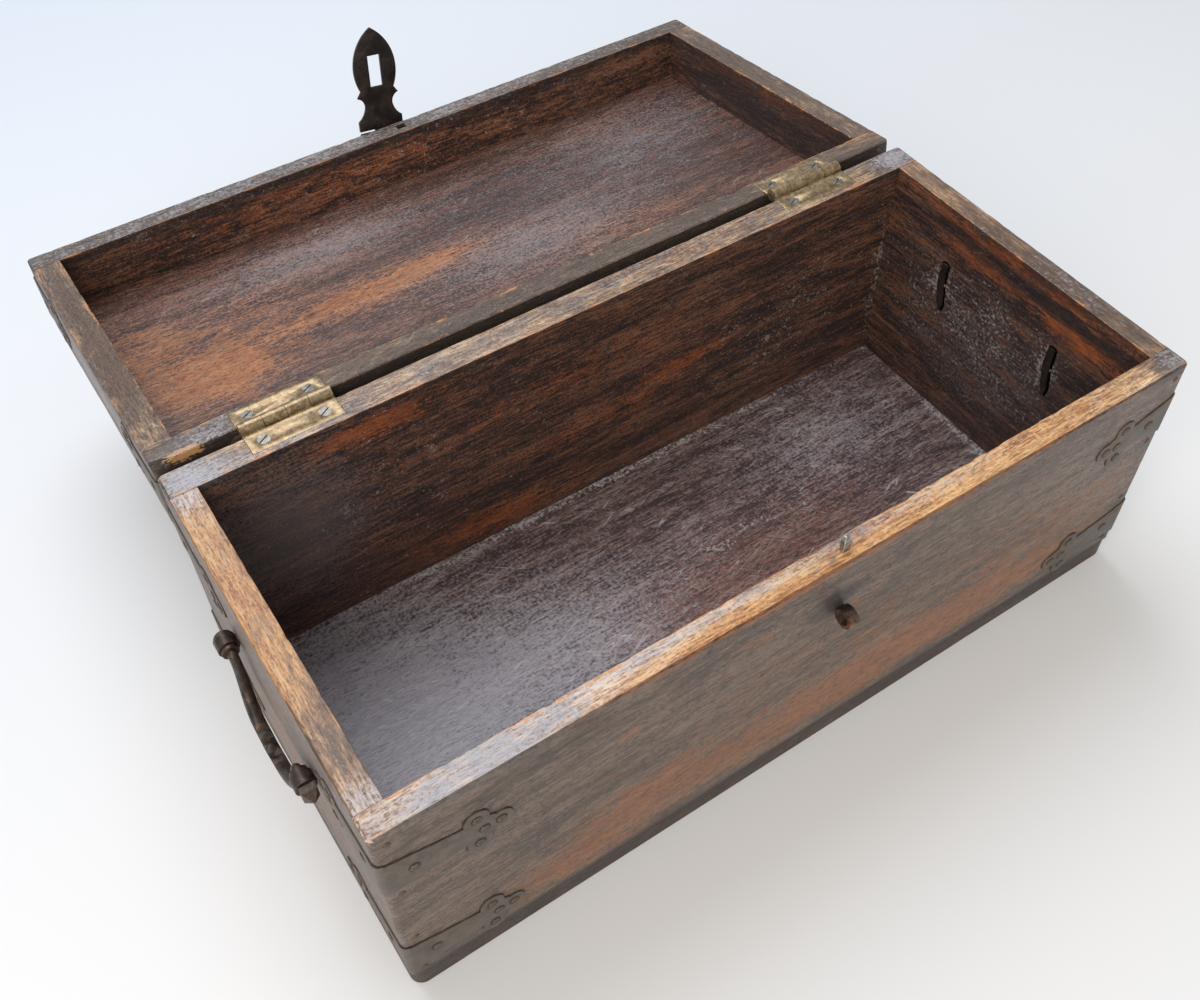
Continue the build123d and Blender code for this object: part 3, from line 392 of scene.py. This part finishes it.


# Each board: which way its grain runs, which finish its sides have, which edges are rubbed, and the
# listed patches, each (kind, centre in mm, radii in mm, strength). The lid's are given for the shut
# lid.

# A grey patch thickens the blue-grey film: dust and old wax, with painted sheen where the rims, the floor, the end
# boards' outer faces and the inside of the lid reflect the bright room.
boards = {
    "bottom_board": {
        "body": "chest", "grain": "x", "seed": 1,
        "sides": {"z+": "floorTeak", "rest": "footTeak"},
        "rubbed": [("x-", "y-"), ("x+", "y-")],
        "patches": [
            ("warm", (20, -20, 15), (90, 45, 12), 0.5), ("warm", (120, 0, 15), (60, 50, 12), 0.2),
            ("grey", (-180, -10, 15), (110, 110, 12), 0.5), ("grey", (-200, 40, 15), (60, 70, 12), 0.15),
            ("grey", (-53, 8, 15), (80, 50, 12), 0.2), ("grey", (150, 50, 15), (80, 50, 12), 0.3),
            ("flecked", (60, 15, 15), (60, 12, 12), 0.4), ("flecked", (0, 95, 15), (230, 4, 6), 0.8),
            ("flecked", (225, 0, 15), (4, 100, 6), 0.8), ("flecked", (-150, 0, 15), (90, 90, 12), 0.2),
            ("dark", (-222, 0, 15), (12, 110, 8), 0.3), ("dark", (0, -115, 8), (320, 8, 12), 0.3),
            ("warm", (0, -115, 6), (240, 8, 10), 0.25), ("dark", (0, -115, 15), (600, 6, 2), 0.8)],
    },
    "front_board": {
        "body": "chest", "grain": "x", "seed": 2,
        "sides": {"z+": "frontRimTeak", "y+": "innerTeak", "rest": "outerTeak"},
        "rubbed": [("y-", "z+"), ("y+", "z+"), ("x-", "y-"), ("x+", "y-")],
        "patches": [
            ("dark", (0, -115, 15.5), (600, 6, 1.6), 0.9), ("warm", (-150, -115, 32), (55, 10, 24), 0.42),
            ("warm", (-103, -115, 62), (36, 10, 16), 0.42), ("warm", (-10, -115, 42), (90, 10, 22), 0.5),
            ("warm", (75, -115, 44), (70, 10, 18), 0.52), ("warm", (135, -115, 40), (60, 10, 14), 0.45),
            ("warm", (60, -115, 95), (180, 10, 40), 0.2), ("warm", (-37, -115, 142), (12, 8, 5), 0.35),
            ("warm", (-117, -115, 129), (8, 8, 4), 0.4), ("warm", (14, -115, 124), (8, 8, 7), 0.45),
            ("grey", (-190, -115, 120), (60, 10, 40), 0.15),
            ("dark", (-190, -115, 150), (60, 10, 10), 0.15),
            ("grey", (60, -115, 125), (130, 10, 34), 0.15), ("grey", (200, -115, 110), (50, 10, 50), 0.2),
            # the second patch below makes the wood darker just above and left of the staple
            ("warm", (190, -115, 70), (60, 10, 40), 0.25), ("dark", (2, -115, 136), (13, 10, 9), 0.6),
            ("grey", (-195, -110, 166), (76, 12, 5), 0.45), ("dark", (-185, -108, 166), (60, 12, 5), 0.25),
            ("grey", (-76, -104, 166), (90, 4, 5), 0.4), ("dark", (-76, -104, 166), (90, 4, 5), 0.15),
            ("flecked", (-170, -108, 166), (80, 12, 5), 0.2), ("warm", (-50, -111, 166), (100, 9, 5), 0.6),
            ("warm", (110, -108, 166), (110, 12, 5), 0.55), ("grey", (70, -104, 166), (70, 6, 5), 0.25),
            ("dark", (14, -104, 166), (12, 5, 5), 0.3), ("dark", (-2, -110, 166), (9, 5, 5), 0.2),
            ("grey", (236, -108, 166), (12, 12, 5), 0.3), ("dark", (234, -108, 166), (16, 14, 5), 0.5)],
    },
    "back_board": {
        "body": "chest", "grain": "x", "seed": 3,
        "sides": {"z+": "rimTeak", "y-": "innerTeak", "rest": "outerTeak"},
        "rubbed": [("y+", "z+"), ("y-", "z+"), ("x-", "y+"), ("x+", "y+")],
        "patches": [
            ("warm", (-135, 97, 152), (40, 10, 9), 0.55), ("warm", (-67, 97, 30), (60, 10, 14), 0.45),
            ("warm", (70, 97, 88), (35, 10, 8), 0.45), ("warm", (7, 97, 72), (70, 10, 9), 0.3),
            ("warm", (-150, 97, 60), (30, 10, 12), 0.25), ("warm", (0, 97, 120), (160, 10, 12), 0.2),
            ("grey", (-190, 97, 100), (50, 10, 60), 0.6), ("flecked", (-150, 97, 90), (90, 10, 60), 0.25),
            ("flecked", (150, 97, 80), (80, 10, 60), 0.3), ("flecked", (226, 97, 80), (4, 8, 70), 0.6),
            ("grey", (0, 106, 166), (240, 12, 5), 0.15), ("grey", (-228, 106, 166), (18, 14, 5), 0.4),
            ("grey", (232, 106, 166), (15, 14, 5), 0.4), ("dark", (0, 106, 166), (300, 12, 5), 0.15),
            ("dark", (232, 106, 166), (20, 14, 5), 0.35), ("dark", (-228, 106, 166), (20, 14, 5), 0.3),
            ("warm", (40, 115, 50), (150, 8, 30), 0.35), ("warm", (-150, 115, 90), (60, 8, 24), 0.3),
            ("grey", (120, 115, 120), (110, 8, 40), 0.2), ("dark", (0, 115, 20), (300, 8, 14), 0.2)],
    },
    "left_end_board": {
        "body": "chest", "grain": "y", "seed": 4,
        "sides": {"z+": "rimTeak", "x+": "innerTeak", "rest": "outerTeak"},
        "rubbed": [("x-", "z+"), ("x+", "z+")],
        "patches": [
            ("warm", (-235, 10, 166), (14, 90, 5), 0.7), ("dark", (-236, -60, 166), (12, 26, 5), 0.25),
            ("grey", (-235, 94, 166), (14, 12, 5), 0.4), ("grey", (-235, -98, 166), (14, 12, 5), 0.4),
            ("grey", (-242, 0, 90), (8, 130, 60), 0.2), ("warm", (-242, 0, 90), (8, 130, 80), 0.25),
            ("dark", (-242, 32, 104), (6, 12, 16), 0.3), ("dark", (-242, -32, 104), (6, 12, 16), 0.3),
            ("warm", (-242, 0, 60), (6, 50, 18), 0.2)],
    },
    "right_end_board": {
        "body": "chest", "grain": "y", "seed": 5,
        "sides": {"z+": "rimTeak", "x-": "innerTeak", "rest": "outerTeak"},
        "rubbed": [("x+", "z+"), ("x-", "z+")],
        "patches": [
            ("warm", (227, -10, 161), (6, 90, 5), 0.5), ("dark", (227, -20, 152), (6, 80, 4), 0.5),
            ("warm", (227, -60, 142), (6, 36, 7), 0.75), ("warm", (227, 22, 146), (6, 32, 7), 0.7),
            ("flecked", (227, 0, 90), (10, 100, 55), 0.5), ("grey", (227, 0, 80), (10, 100, 60), 0.3),
            ("dark", (227, 0, 90), (10, 120, 60), 0.25), ("flecked", (227, -44, 112), (6, 7, 12), 0.6),
            ("flecked", (227, 46, 112), (6, 7, 12), 0.6), ("warm", (235, 0, 166), (14, 110, 5), 0.45),
            ("dark", (235, -50, 166), (16, 60, 5), 0.35), ("dark", (235, 40, 166), (16, 60, 5), 0.2),
            ("grey", (235, -50, 166), (14, 34, 5), 0.12), ("warm", (242, 0, 60), (6, 70, 24), 0.35),
            ("dark", (242, 32, 104), (6, 12, 16), 0.3), ("dark", (242, -32, 104), (6, 12, 16), 0.3),
            ("grey", (242, 0, 130), (6, 100, 30), 0.2)],
    },
    "lid_top_board": {
        "body": "lid", "grain": "x", "seed": 6,
        "sides": {"z-": "lidTeak", "rest": "outerTeak"},
        "rubbed": [("x-", "z+"), ("x+", "z+"), ("y-", "z+"), ("y+", "z+")],
        "patches": [
            ("warm", (-215, -30, 202), (26, 50, 12), 0.35), ("warm", (-180, 22, 202), (34, 26, 12), 0.8),
            ("warm", (-88, 4, 202), (60, 16, 12), 0.5), ("warm", (-24, -2, 202), (40, 10, 12), 0.55),
            ("warm", (-150, -30, 202), (60, 20, 12), 0.25), ("warm", (100, 40, 202), (80, 14, 12), 0.3),
            ("grey", (-77, -60, 202), (90, 25, 12), 0.35), ("grey", (150, -50, 202), (90, 50, 12), 0.25),
            ("dark", (170, -10, 202), (90, 60, 12), 0.2), ("grey", (30, 20, 202), (90, 34, 12), 0.3),
            ("dark", (40, -40, 202), (90, 30, 12), 0.25), ("warm", (-10, -85, 217), (150, 34, 8), 0.4),
            ("grey", (90, 30, 217), (130, 60, 8), 0.35), ("warm", (-150, 60, 217), (70, 30, 8), 0.25),
            ("dark", (-60, 20, 217), (70, 40, 8), 0.2), ("flecked", (60, 0, 217), (180, 100, 8), 0.2)],
    },
    "lid_front_board": {
        "body": "lid", "grain": "x", "seed": 7,
        "sides": {"z-": "rimTeak", "y+": "innerTeak", "rest": "outerTeak"},
        "rubbed": [("y-", "z-"), ("y+", "z-")],
        "patches": [
            ("dark", (0, -108, 167), (420, 16, 6), 0.75), ("grey", (-60, -108, 167), (320, 14, 5), 0.25),
            ("flecked", (0, -100, 185), (200, 8, 20), 0.3), ("warm", (-40, -100, 182), (130, 8, 14), 0.3),
            ("warm", (-30, -115, 200), (140, 8, 12), 0.35), ("grey", (150, -115, 190), (80, 8, 20), 0.2)],
    },
    "lid_back_board": {
        "body": "lid", "grain": "x", "seed": 8,
        "sides": {"z-": "rimTeak", "y-": "innerTeak", "rest": "outerTeak"},
        "rubbed": [("y+", "z-"), ("y-", "z-")],
        "patches": [
            ("torn", (-224, 115, 167), (13, 5, 6), 0.9), ("grey", (-205, 106, 167), (26, 14, 5), 0.3),
            ("dark", (-212, 106, 167), (30, 14, 5), 0.2), ("dark", (0, 106, 167), (300, 14, 5), 0.35),
            # the dark band on the back's outer face is painted shadow, the shade in the gap between lid and chest
            ("dark", (0, 115, 180), (500, 5, 20), 0.4)],
    },
    "lid_left_end_board": {
        "body": "lid", "grain": "y", "seed": 9,
        "sides": {"z-": "rimTeak", "x+": "innerTeak", "rest": "outerTeak"},
        "rubbed": [("x-", "z-"), ("x+", "z-")],
        "patches": [
            ("warm", (-234, 10, 167), (14, 80, 5), 0.55), ("dark", (-234, 0, 167), (16, 130, 6), 0.4),
            ("grey", (-242, 0, 195), (6, 130, 18), 0.8)],
    },
    "lid_right_end_board": {
        "body": "lid", "grain": "y", "seed": 10,
        "sides": {"z-": "rimTeak", "x-": "innerTeak", "rest": "outerTeak"},
        "rubbed": [("x+", "z-"), ("x-", "z-")],
        "patches": [
            ("warm", (234, 20, 167), (14, 90, 5), 0.35), ("warm", (226, 6, 172), (6, 80, 7), 0.5),
            ("dark", (234, 0, 167), (16, 140, 6), 0.35), ("dark", (226, 0, 185), (6, 140, 20), 0.3)],
    },
}

boardWear = {
    "edgeRound": 0.45 * mm, "edgeSteps": 2, "gridStep": 3.6 * mm, "edgeLines": (1.0 * mm, 2.4 * mm),
    "warp": 0.09 * mm, "warpLength": 60 * mm, "dent": 0.96 * mm, "dentLength": 7 * mm, "dentReach": 1.8 * mm,
    "chip": 2.2 * mm, "chipBase": 0.6, "chipSpread": 0.4, "chipLength": 4 * mm,
    "dentStart": 0.1, "flatAngle": 1, "leastEdge": 12 * mm, "sideDepth": 3 * mm,
    "gapMost": 20, "patchReach": 5, "seedStep": (0.37, 1.91, 0.73),
}
sideNames = [axis + sign for axis in "xyz" for sign in "-+"]


def wornBoard(name, look):
    wear = boardWear
    shape = copyNode(name)
    if look["body"] == "lid":
        shape.transform(lidShut)
    bmesh.ops.dissolve_limit(shape, angle_limit=math.radians(wear["flatAngle"]), verts=shape.verts,
                             edges=shape.edges)
    roundEdges(shape, wear["edgeRound"], wear["edgeSteps"], wear["leastEdge"])
    low = [min(vert.co[axis] for vert in shape.verts) for axis in range(3)]
    high = [max(vert.co[axis] for vert in shape.verts) for axis in range(3)]
    for axis in range(3):
        long = high[axis] - low[axis]
        count = max(2, round(long / wear["gridStep"]))
        cuts = [low[axis] + long * number / count for number in range(1, count)]
        cuts += [low[axis] + line for line in wear["edgeLines"]]
        cuts += [high[axis] - line for line in wear["edgeLines"]]
        normal = Vector([axis == 0, axis == 1, axis == 2])
        for cut in cuts:
            bmesh.ops.bisect_plane(shape, geom=shape.verts[:] + shape.edges[:] + shape.faces[:],
                                   dist=sameSpot, plane_co=normal * cut, plane_no=normal)
    # which finish each side has
    finishes = sorted(set(look["sides"].values()))
    shape.normal_update()
    for face in shape.faces:
        axis = max(range(3), key=lambda one: abs(face.normal[one]))
        side = sideNames[2 * axis + (face.normal[axis] > 0)]
        depth = abs(face.calc_center_median()[axis] - (high if side[1] == "+" else low)[axis])
        word = side if side in look["sides"] and depth < wear["sideDepth"] else "rest"
        face.material_index = finishes.index(look["sides"][word])
    layers = {word: shape.verts.layers.float.new(word) for word in boardWords}
    grain = shape.verts.layers.float_vector.new("grain")
    seed = Vector(wear["seedStep"]) * look["seed"]
    sideAt = {word: ("xyz".index(word[0]), (high if word[1] == "+" else low)["xyz".index(word[0])])
              for word in sideNames}
    rubbed = [[sideAt[word] for word in pair] for pair in look["rubbed"]]
    moves = []
    for vert in shape.verts:
        place = vert.co
        gap = min(math.hypot(*(place[axis] - side for axis, side in pair)) for pair in rubbed)
        vert[layers["gap"]] = min(gap / mm, wear["gapMost"])
        for kind, centre, radii, strength in look["patches"]:
            reach = sum(((place[axis] / mm - centre[axis]) / radii[axis]) ** 2 for axis in range(3))
            if reach < wear["patchReach"]:
                vert[layers[kind]] += strength * math.exp(-reach)
        along = place.copy() if look["grain"] == "x" else Vector((place.y, place.x, place.z))
        vert[grain] = along + seed
        # a slow warp everywhere, and small dents along the rubbed edges
        sink = abs(noise.noise((place + seed) / wear["warpLength"])) * wear["warp"]
        if gap < 3 * wear["dentReach"]:
            dent = max(0.0, noise.noise((place + seed) / wear["dentLength"]) - wear["dentStart"])
            sink += dent * math.exp(-(gap / wear["dentReach"]) ** 2) * wear["dent"]
        ragged = wear["chipBase"] + wear["chipSpread"] * noise.noise(place / wear["chipLength"])
        sink += vert[layers["torn"]] * wear["chip"] * ragged
        moves.append((vert, -vert.normal * sink))
    for vert, move in moves:
        vert.co += move
    if look["body"] == "lid":
        shape.transform(lidShut.inverted())
    finishPiece(shape, "worn_" + name, [name], look["body"], [woods[word] for word in finishes])


for name, look in boards.items():
    wornBoard(name, look)
print("boards made")

straps = [f"{level}_strap_{corner}" for level in ("upper", "lower", "lid")
          for corner in ("front_left", "front_right", "back_left", "back_right")]
eyes = [f"{side}_handle_eye_{end}" for side in ("left", "right") for end in ("front", "back")]
# Each group: the nodes that share a finish, how far their edges are rounded, in how many steps, and
# the rusty patches, each a centre and a radius in mm.
metalPieces = {
    "strapIron": {"nodes": straps, "round": 0.3 * mm, "steps": 2, "slot": "strap_iron", "rusty": []},
    "nailIron": {"nodes": ["chest_strap_nails", "lid_strap_nails", "hasp_plate_nails"], "round": 0.2 * mm,
                 "steps": 1, "slot": "nail_iron", "rusty": []},
    "boardNail": {"nodes": ["chest_board_nails", "lid_board_nails"], "round": 0.2 * mm, "steps": 1,
                  "slot": "nail_iron", "rusty": []},
    "rubbedIron": {"nodes": ["locating_pin"], "round": 0.3 * mm, "steps": 2, "slot": "forged_iron",
                   "rusty": [((10, -108, 167), 3)]},
    "forgedIron": {"nodes": eyes + ["left_handle", "right_handle", "staple"],
                   "round": 0.35 * mm, "steps": 2, "slot": "forged_iron",
                   "rusty": [((4, -124, 128), 9)]},
    "haspIron": {"nodes": ["hasp", "hasp_plate", "hasp_pin"], "round": 0.3 * mm, "steps": 2,
                 "slot": "hasp_iron", "rusty": [((2, 351, 196), 16)]},
    "agedBrass": {"nodes": ["left_chest_leaf", "right_chest_leaf", "left_lid_leaf", "right_lid_leaf",
                            "left_hinge_pin", "right_hinge_pin"],
                  "round": 0.25 * mm, "steps": 2, "slot": "brass", "rusty": []},
    "greyScrew": {"nodes": ["chest_hinge_screws", "lid_hinge_screws"], "round": 0.15 * mm, "steps": 1,
                  "slot": "brass", "rusty": []},
}
metalEdges = {"flatAngle": 0.3, "least": 0.6 * mm}

# The dark line round each strap is a thin skin that stands out past its edge, and the dark ring round each
# nail is a thin disc under its head: grime, with painted shade of the crevice and the pit there.
grimeShadeAndDust = {
    "reach": 0.5 * mm, "proud": 0.14 * mm, "strapThick": 0.8 * mm, "boxHalf": (242 * mm, 115 * mm),
    "cornerWear": {"chest": 3.0 * mm, "lid": 2.5 * mm},
    "ringWider": 1.22, "ringBelow": 0.42 * mm, "ringSides": 12, "sideways": 0.2,
    "innerFace": 227.3 * mm, "dustReach": 1.15 * mm,
}
bodyOf = {node: body for body, nodes in frame["record"]["behaviour"]["bodies"].items() for node in nodes}


def agedPiece(name, finish, look):
    shape = copyNode(name)
    edge = shape.faces.layers.float.new("edge")
    if name not in eyes and not name.endswith("_handle"):  # these are round all over already
        bmesh.ops.dissolve_limit(shape, angle_limit=math.radians(metalEdges["flatAngle"]), verts=shape.verts,
                                 edges=shape.edges)
        for face in roundEdges(shape, look["round"], look["steps"], metalEdges["least"]):
            face[edge] = 1.0
    rusty = shape.verts.layers.float.new("rusty")
    for vert in shape.verts:
        for centre, radius in look["rusty"]:
            vert[rusty] += math.exp(-((vert.co - Vector(centre) * mm).length / (radius * mm)) ** 2)
    materials = [metals[finish]]
    if name in eyes:
        # the clenched legs inside are blacker than the eye
        materials.append(metals["haspIron"])
        for face in shape.faces:
            face.material_index = int(abs(face.calc_center_median().x) < grimeShadeAndDust["innerFace"])
    finishPiece(shape, "aged_" + name, [name], bodyOf[name], materials)


for finish, look in metalPieces.items():
    for name in look["nodes"]:
        agedPiece(name, finish, look)
print("metal made")


def outwardFrom(place, wear):
    # which way a strap faces where it goes round a corner, and how far it stands off the wood
    inner = [half - wear for half in grimeShadeAndDust["boxHalf"]]
    nearest = Vector([max(-half, min(half, part)) for half, part in zip(inner, place)] + [place.z])
    away = place - nearest
    return away.normalized(), away.length - wear


# a dark skin round each strap: grime, with painted shade of the crevice along its edge
def strapGrimeAndShade(body):
    whole = bpy.data.meshes.new("wholeLine")
    lines = bmesh.new()
    for name in straps:
        if bodyOf[name] != body:
            continue
        shape = copyNode(name)
        if body == "lid":
            shape.transform(lidShut)
        shape.normal_update()
        moves = []
        for vert in shape.verts:
            outward, stand = outwardFrom(vert.co, grimeShadeAndDust["cornerWear"][body])
            aside = vert.normal - outward * vert.normal.dot(outward)
            move = Vector()
            if aside.length > grimeShadeAndDust["sideways"]:
                move = aside.normalized() * grimeShadeAndDust["reach"]
            if stand > grimeShadeAndDust["strapThick"] / 2:
                move -= outward * (stand - grimeShadeAndDust["proud"])
            moves.append((vert, move))
        for vert, move in moves:
            vert.co += move
        if body == "lid":
            shape.transform(lidShut.inverted())
        shape.to_mesh(whole)
        shape.free()
        lines.from_mesh(whole)
    bpy.data.meshes.remove(whole)
    finishPiece(lines, f"{body}_strap_grime_and_shade", [], body, [metals["grimeAndShade"]])


# a dark disc under each nail head: grime, with painted shade of the pit round the head
def nailGrimeAndShade(name):
    body = bodyOf[name]
    shape = copyNode(name)
    if body == "lid":
        shape.transform(lidShut)
    rings = bmesh.new()
    left = set(shape.verts)
    while left:
        # one nail at a time, by walking along its edges
        nail, more = set(), [left.pop()]
        while more:
            vert = more.pop()
            nail.add(vert)
            near = {edge.other_vert(vert) for edge in vert.link_edges} & left
            left -= near
            more += near
        low = Vector([min(vert.co[axis] for vert in nail) for axis in range(3)])
        high = Vector([max(vert.co[axis] for vert in nail) for axis in range(3)])
        axis = max(range(3), key=lambda one: high[one] - low[one])
        middle = (low + high) / 2
        across = max((high - low)[one] for one in range(3) if one != axis) / 2
        # the head is the wide end
        wide = max(nail, key=lambda vert: (vert.co - middle).length_squared)
        sign = 1 if wide.co[axis] > middle[axis] else -1
        outward = Vector([(one == axis) * sign for one in range(3)])
        middle[axis] = (high if sign > 0 else low)[axis] - sign * grimeShadeAndDust["ringBelow"]
        turn = outward.to_track_quat("Z", "Y").to_matrix().to_4x4()
        bmesh.ops.create_circle(rings, cap_ends=True, radius=across * grimeShadeAndDust["ringWider"],
                                segments=grimeShadeAndDust["ringSides"], matrix=Matrix.Translation(middle) @ turn)
    shape.free()
    if body == "lid":
        rings.transform(lidShut.inverted())
    finishPiece(rings, name + "_grime_and_shade", [], body, [metals["grimeAndShade"]])


def clenchDust(name):
    # pale dust caught round the clenched legs of an eye, on the inner face of the end board
    shape = copyNode(name)
    side = -1 if name.startswith("left") else 1
    wall = Vector((side * grimeShadeAndDust["innerFace"], 0, 0))
    bmesh.ops.bisect_plane(shape, geom=shape.verts[:] + shape.edges[:] + shape.faces[:], dist=sameSpot,
                           plane_co=wall, plane_no=Vector((side, 0, 0)), clear_outer=True)
    shape.normal_update()
    for vert, aside in [(vert, Vector((0, vert.normal.y, vert.normal.z))) for vert in shape.verts]:
        if aside.length > grimeShadeAndDust["sideways"]:
            vert.co += aside.normalized() * grimeShadeAndDust["dustReach"]
        vert.co.x = wall.x - side * grimeShadeAndDust["proud"]
    finishPiece(shape, name + "_dust", [], "chest", [metals["paleDust"]])


for name in eyes:
    clenchDust(name)
for body in ("chest", "lid"):
    strapGrimeAndShade(body)
for name in ("chest_strap_nails", "lid_strap_nails"):
    nailGrimeAndShade(name)
print("grime made")

# A plain pale floor that goes bluer with distance, two soft lights and the camera.
studio = {
    "floor": {"near": "#f0efec", "far": "#d3dae2", "fadeFrom": -0.1, "fadeTo": 1.0, "half": 6,
              "steps": 8, "roughness": 0.6},
    "world": {"colour": "#eef2f7", "level": 0.5},
    "key": {"place": (-0.05, 1.15, 1.9), "aim": (0.0, 0.05, 0.1), "size": 1.8, "power": 29,
            "colour": "#f1f5ff"},
    "fill": {"place": (-1.5, -1.3, 1.7), "aim": (0, 0, 0.05), "size": 2.2, "power": 38,
             "colour": "#fff8f0"},
    "camera": {"place": (-0.281079, -0.352876, 0.654573), "turn": (40.19278, 0.23829, -33.6891),
               "lens": 38.99868, "sensor": 36, "shift": (-0.01069323, -0.02279763)},
}

look = studio["floor"]
floorShape = bmesh.new()
bmesh.ops.create_grid(floorShape, x_segments=look["steps"], y_segments=look["steps"], size=look["half"])
floorMesh = bpy.data.meshes.new("studioFloor")
floorShape.to_mesh(floorMesh)
floorShape.free()
floor = bpy.data.objects.new("studioFloor", floorMesh)
bpy.context.scene.collection.objects.link(floor)
floorMaterial, tree = newMaterial("paleFloor")
floorPlace = addNode(tree, "ShaderNodeTexCoord").outputs["Object"]
depthAway = addNode(tree, "ShaderNodeSeparateXYZ", {}, {"Vector": floorPlace}).outputs["Y"]
away = addNode(tree, "ShaderNodeMapRange", {}, {
    "Value": depthAway, "From Min": look["fadeFrom"], "From Max": look["fadeTo"]}).outputs["Result"]
floorColour = addNode(tree, "ShaderNodeMix", {"data_type": "RGBA"}, {
    0: away, 6: linearColour(look["near"]), 7: linearColour(look["far"])}).outputs[2]
shader = addNode(tree, "ShaderNodeBsdfPrincipled", {}, {
    "Base Color": floorColour, "Roughness": look["roughness"]})
addNode(tree, "ShaderNodeOutputMaterial", {}, {"Surface": shader.outputs["BSDF"]})
floorMesh.materials.append(floorMaterial)

world = bpy.data.worlds.new("softStudio")
bpy.context.scene.world = world
world.use_nodes = True
world.node_tree.nodes.clear()
sky = addNode(world.node_tree, "ShaderNodeBackground", {}, {
    "Color": linearColour(studio["world"]["colour"]), "Strength": studio["world"]["level"]})
addNode(world.node_tree, "ShaderNodeOutputWorld", {}, {"Surface": sky.outputs["Background"]})

for name in ("key", "fill"):
    look = studio[name]
    lamp = bpy.data.lights.new(name + "Light", "AREA")
    lamp.shape = "DISK"
    lamp.size = look["size"]
    lamp.energy = look["power"]
    lamp.color = linearColour(look["colour"])[:3]
    light = bpy.data.objects.new(name + "Light", lamp)
    light.location = look["place"]
    light.rotation_euler = (Vector(look["aim"]) - Vector(look["place"])).to_track_quat("-Z", "Y").to_euler()
    bpy.context.scene.collection.objects.link(light)

look = studio["camera"]
eye = bpy.data.cameras.new("photoCamera")
eye.sensor_width = look["sensor"]
eye.lens = look["lens"]
eye.shift_x, eye.shift_y = look["shift"]
camera = bpy.data.objects.new("photoCamera", eye)
camera.location = look["place"]
camera.rotation_euler = [math.radians(turn) for turn in look["turn"]]
bpy.context.scene.collection.objects.link(camera)
bpy.context.scene.camera = camera
bpy.context.scene.view_settings.view_transform = "Standard"
print("studio made")
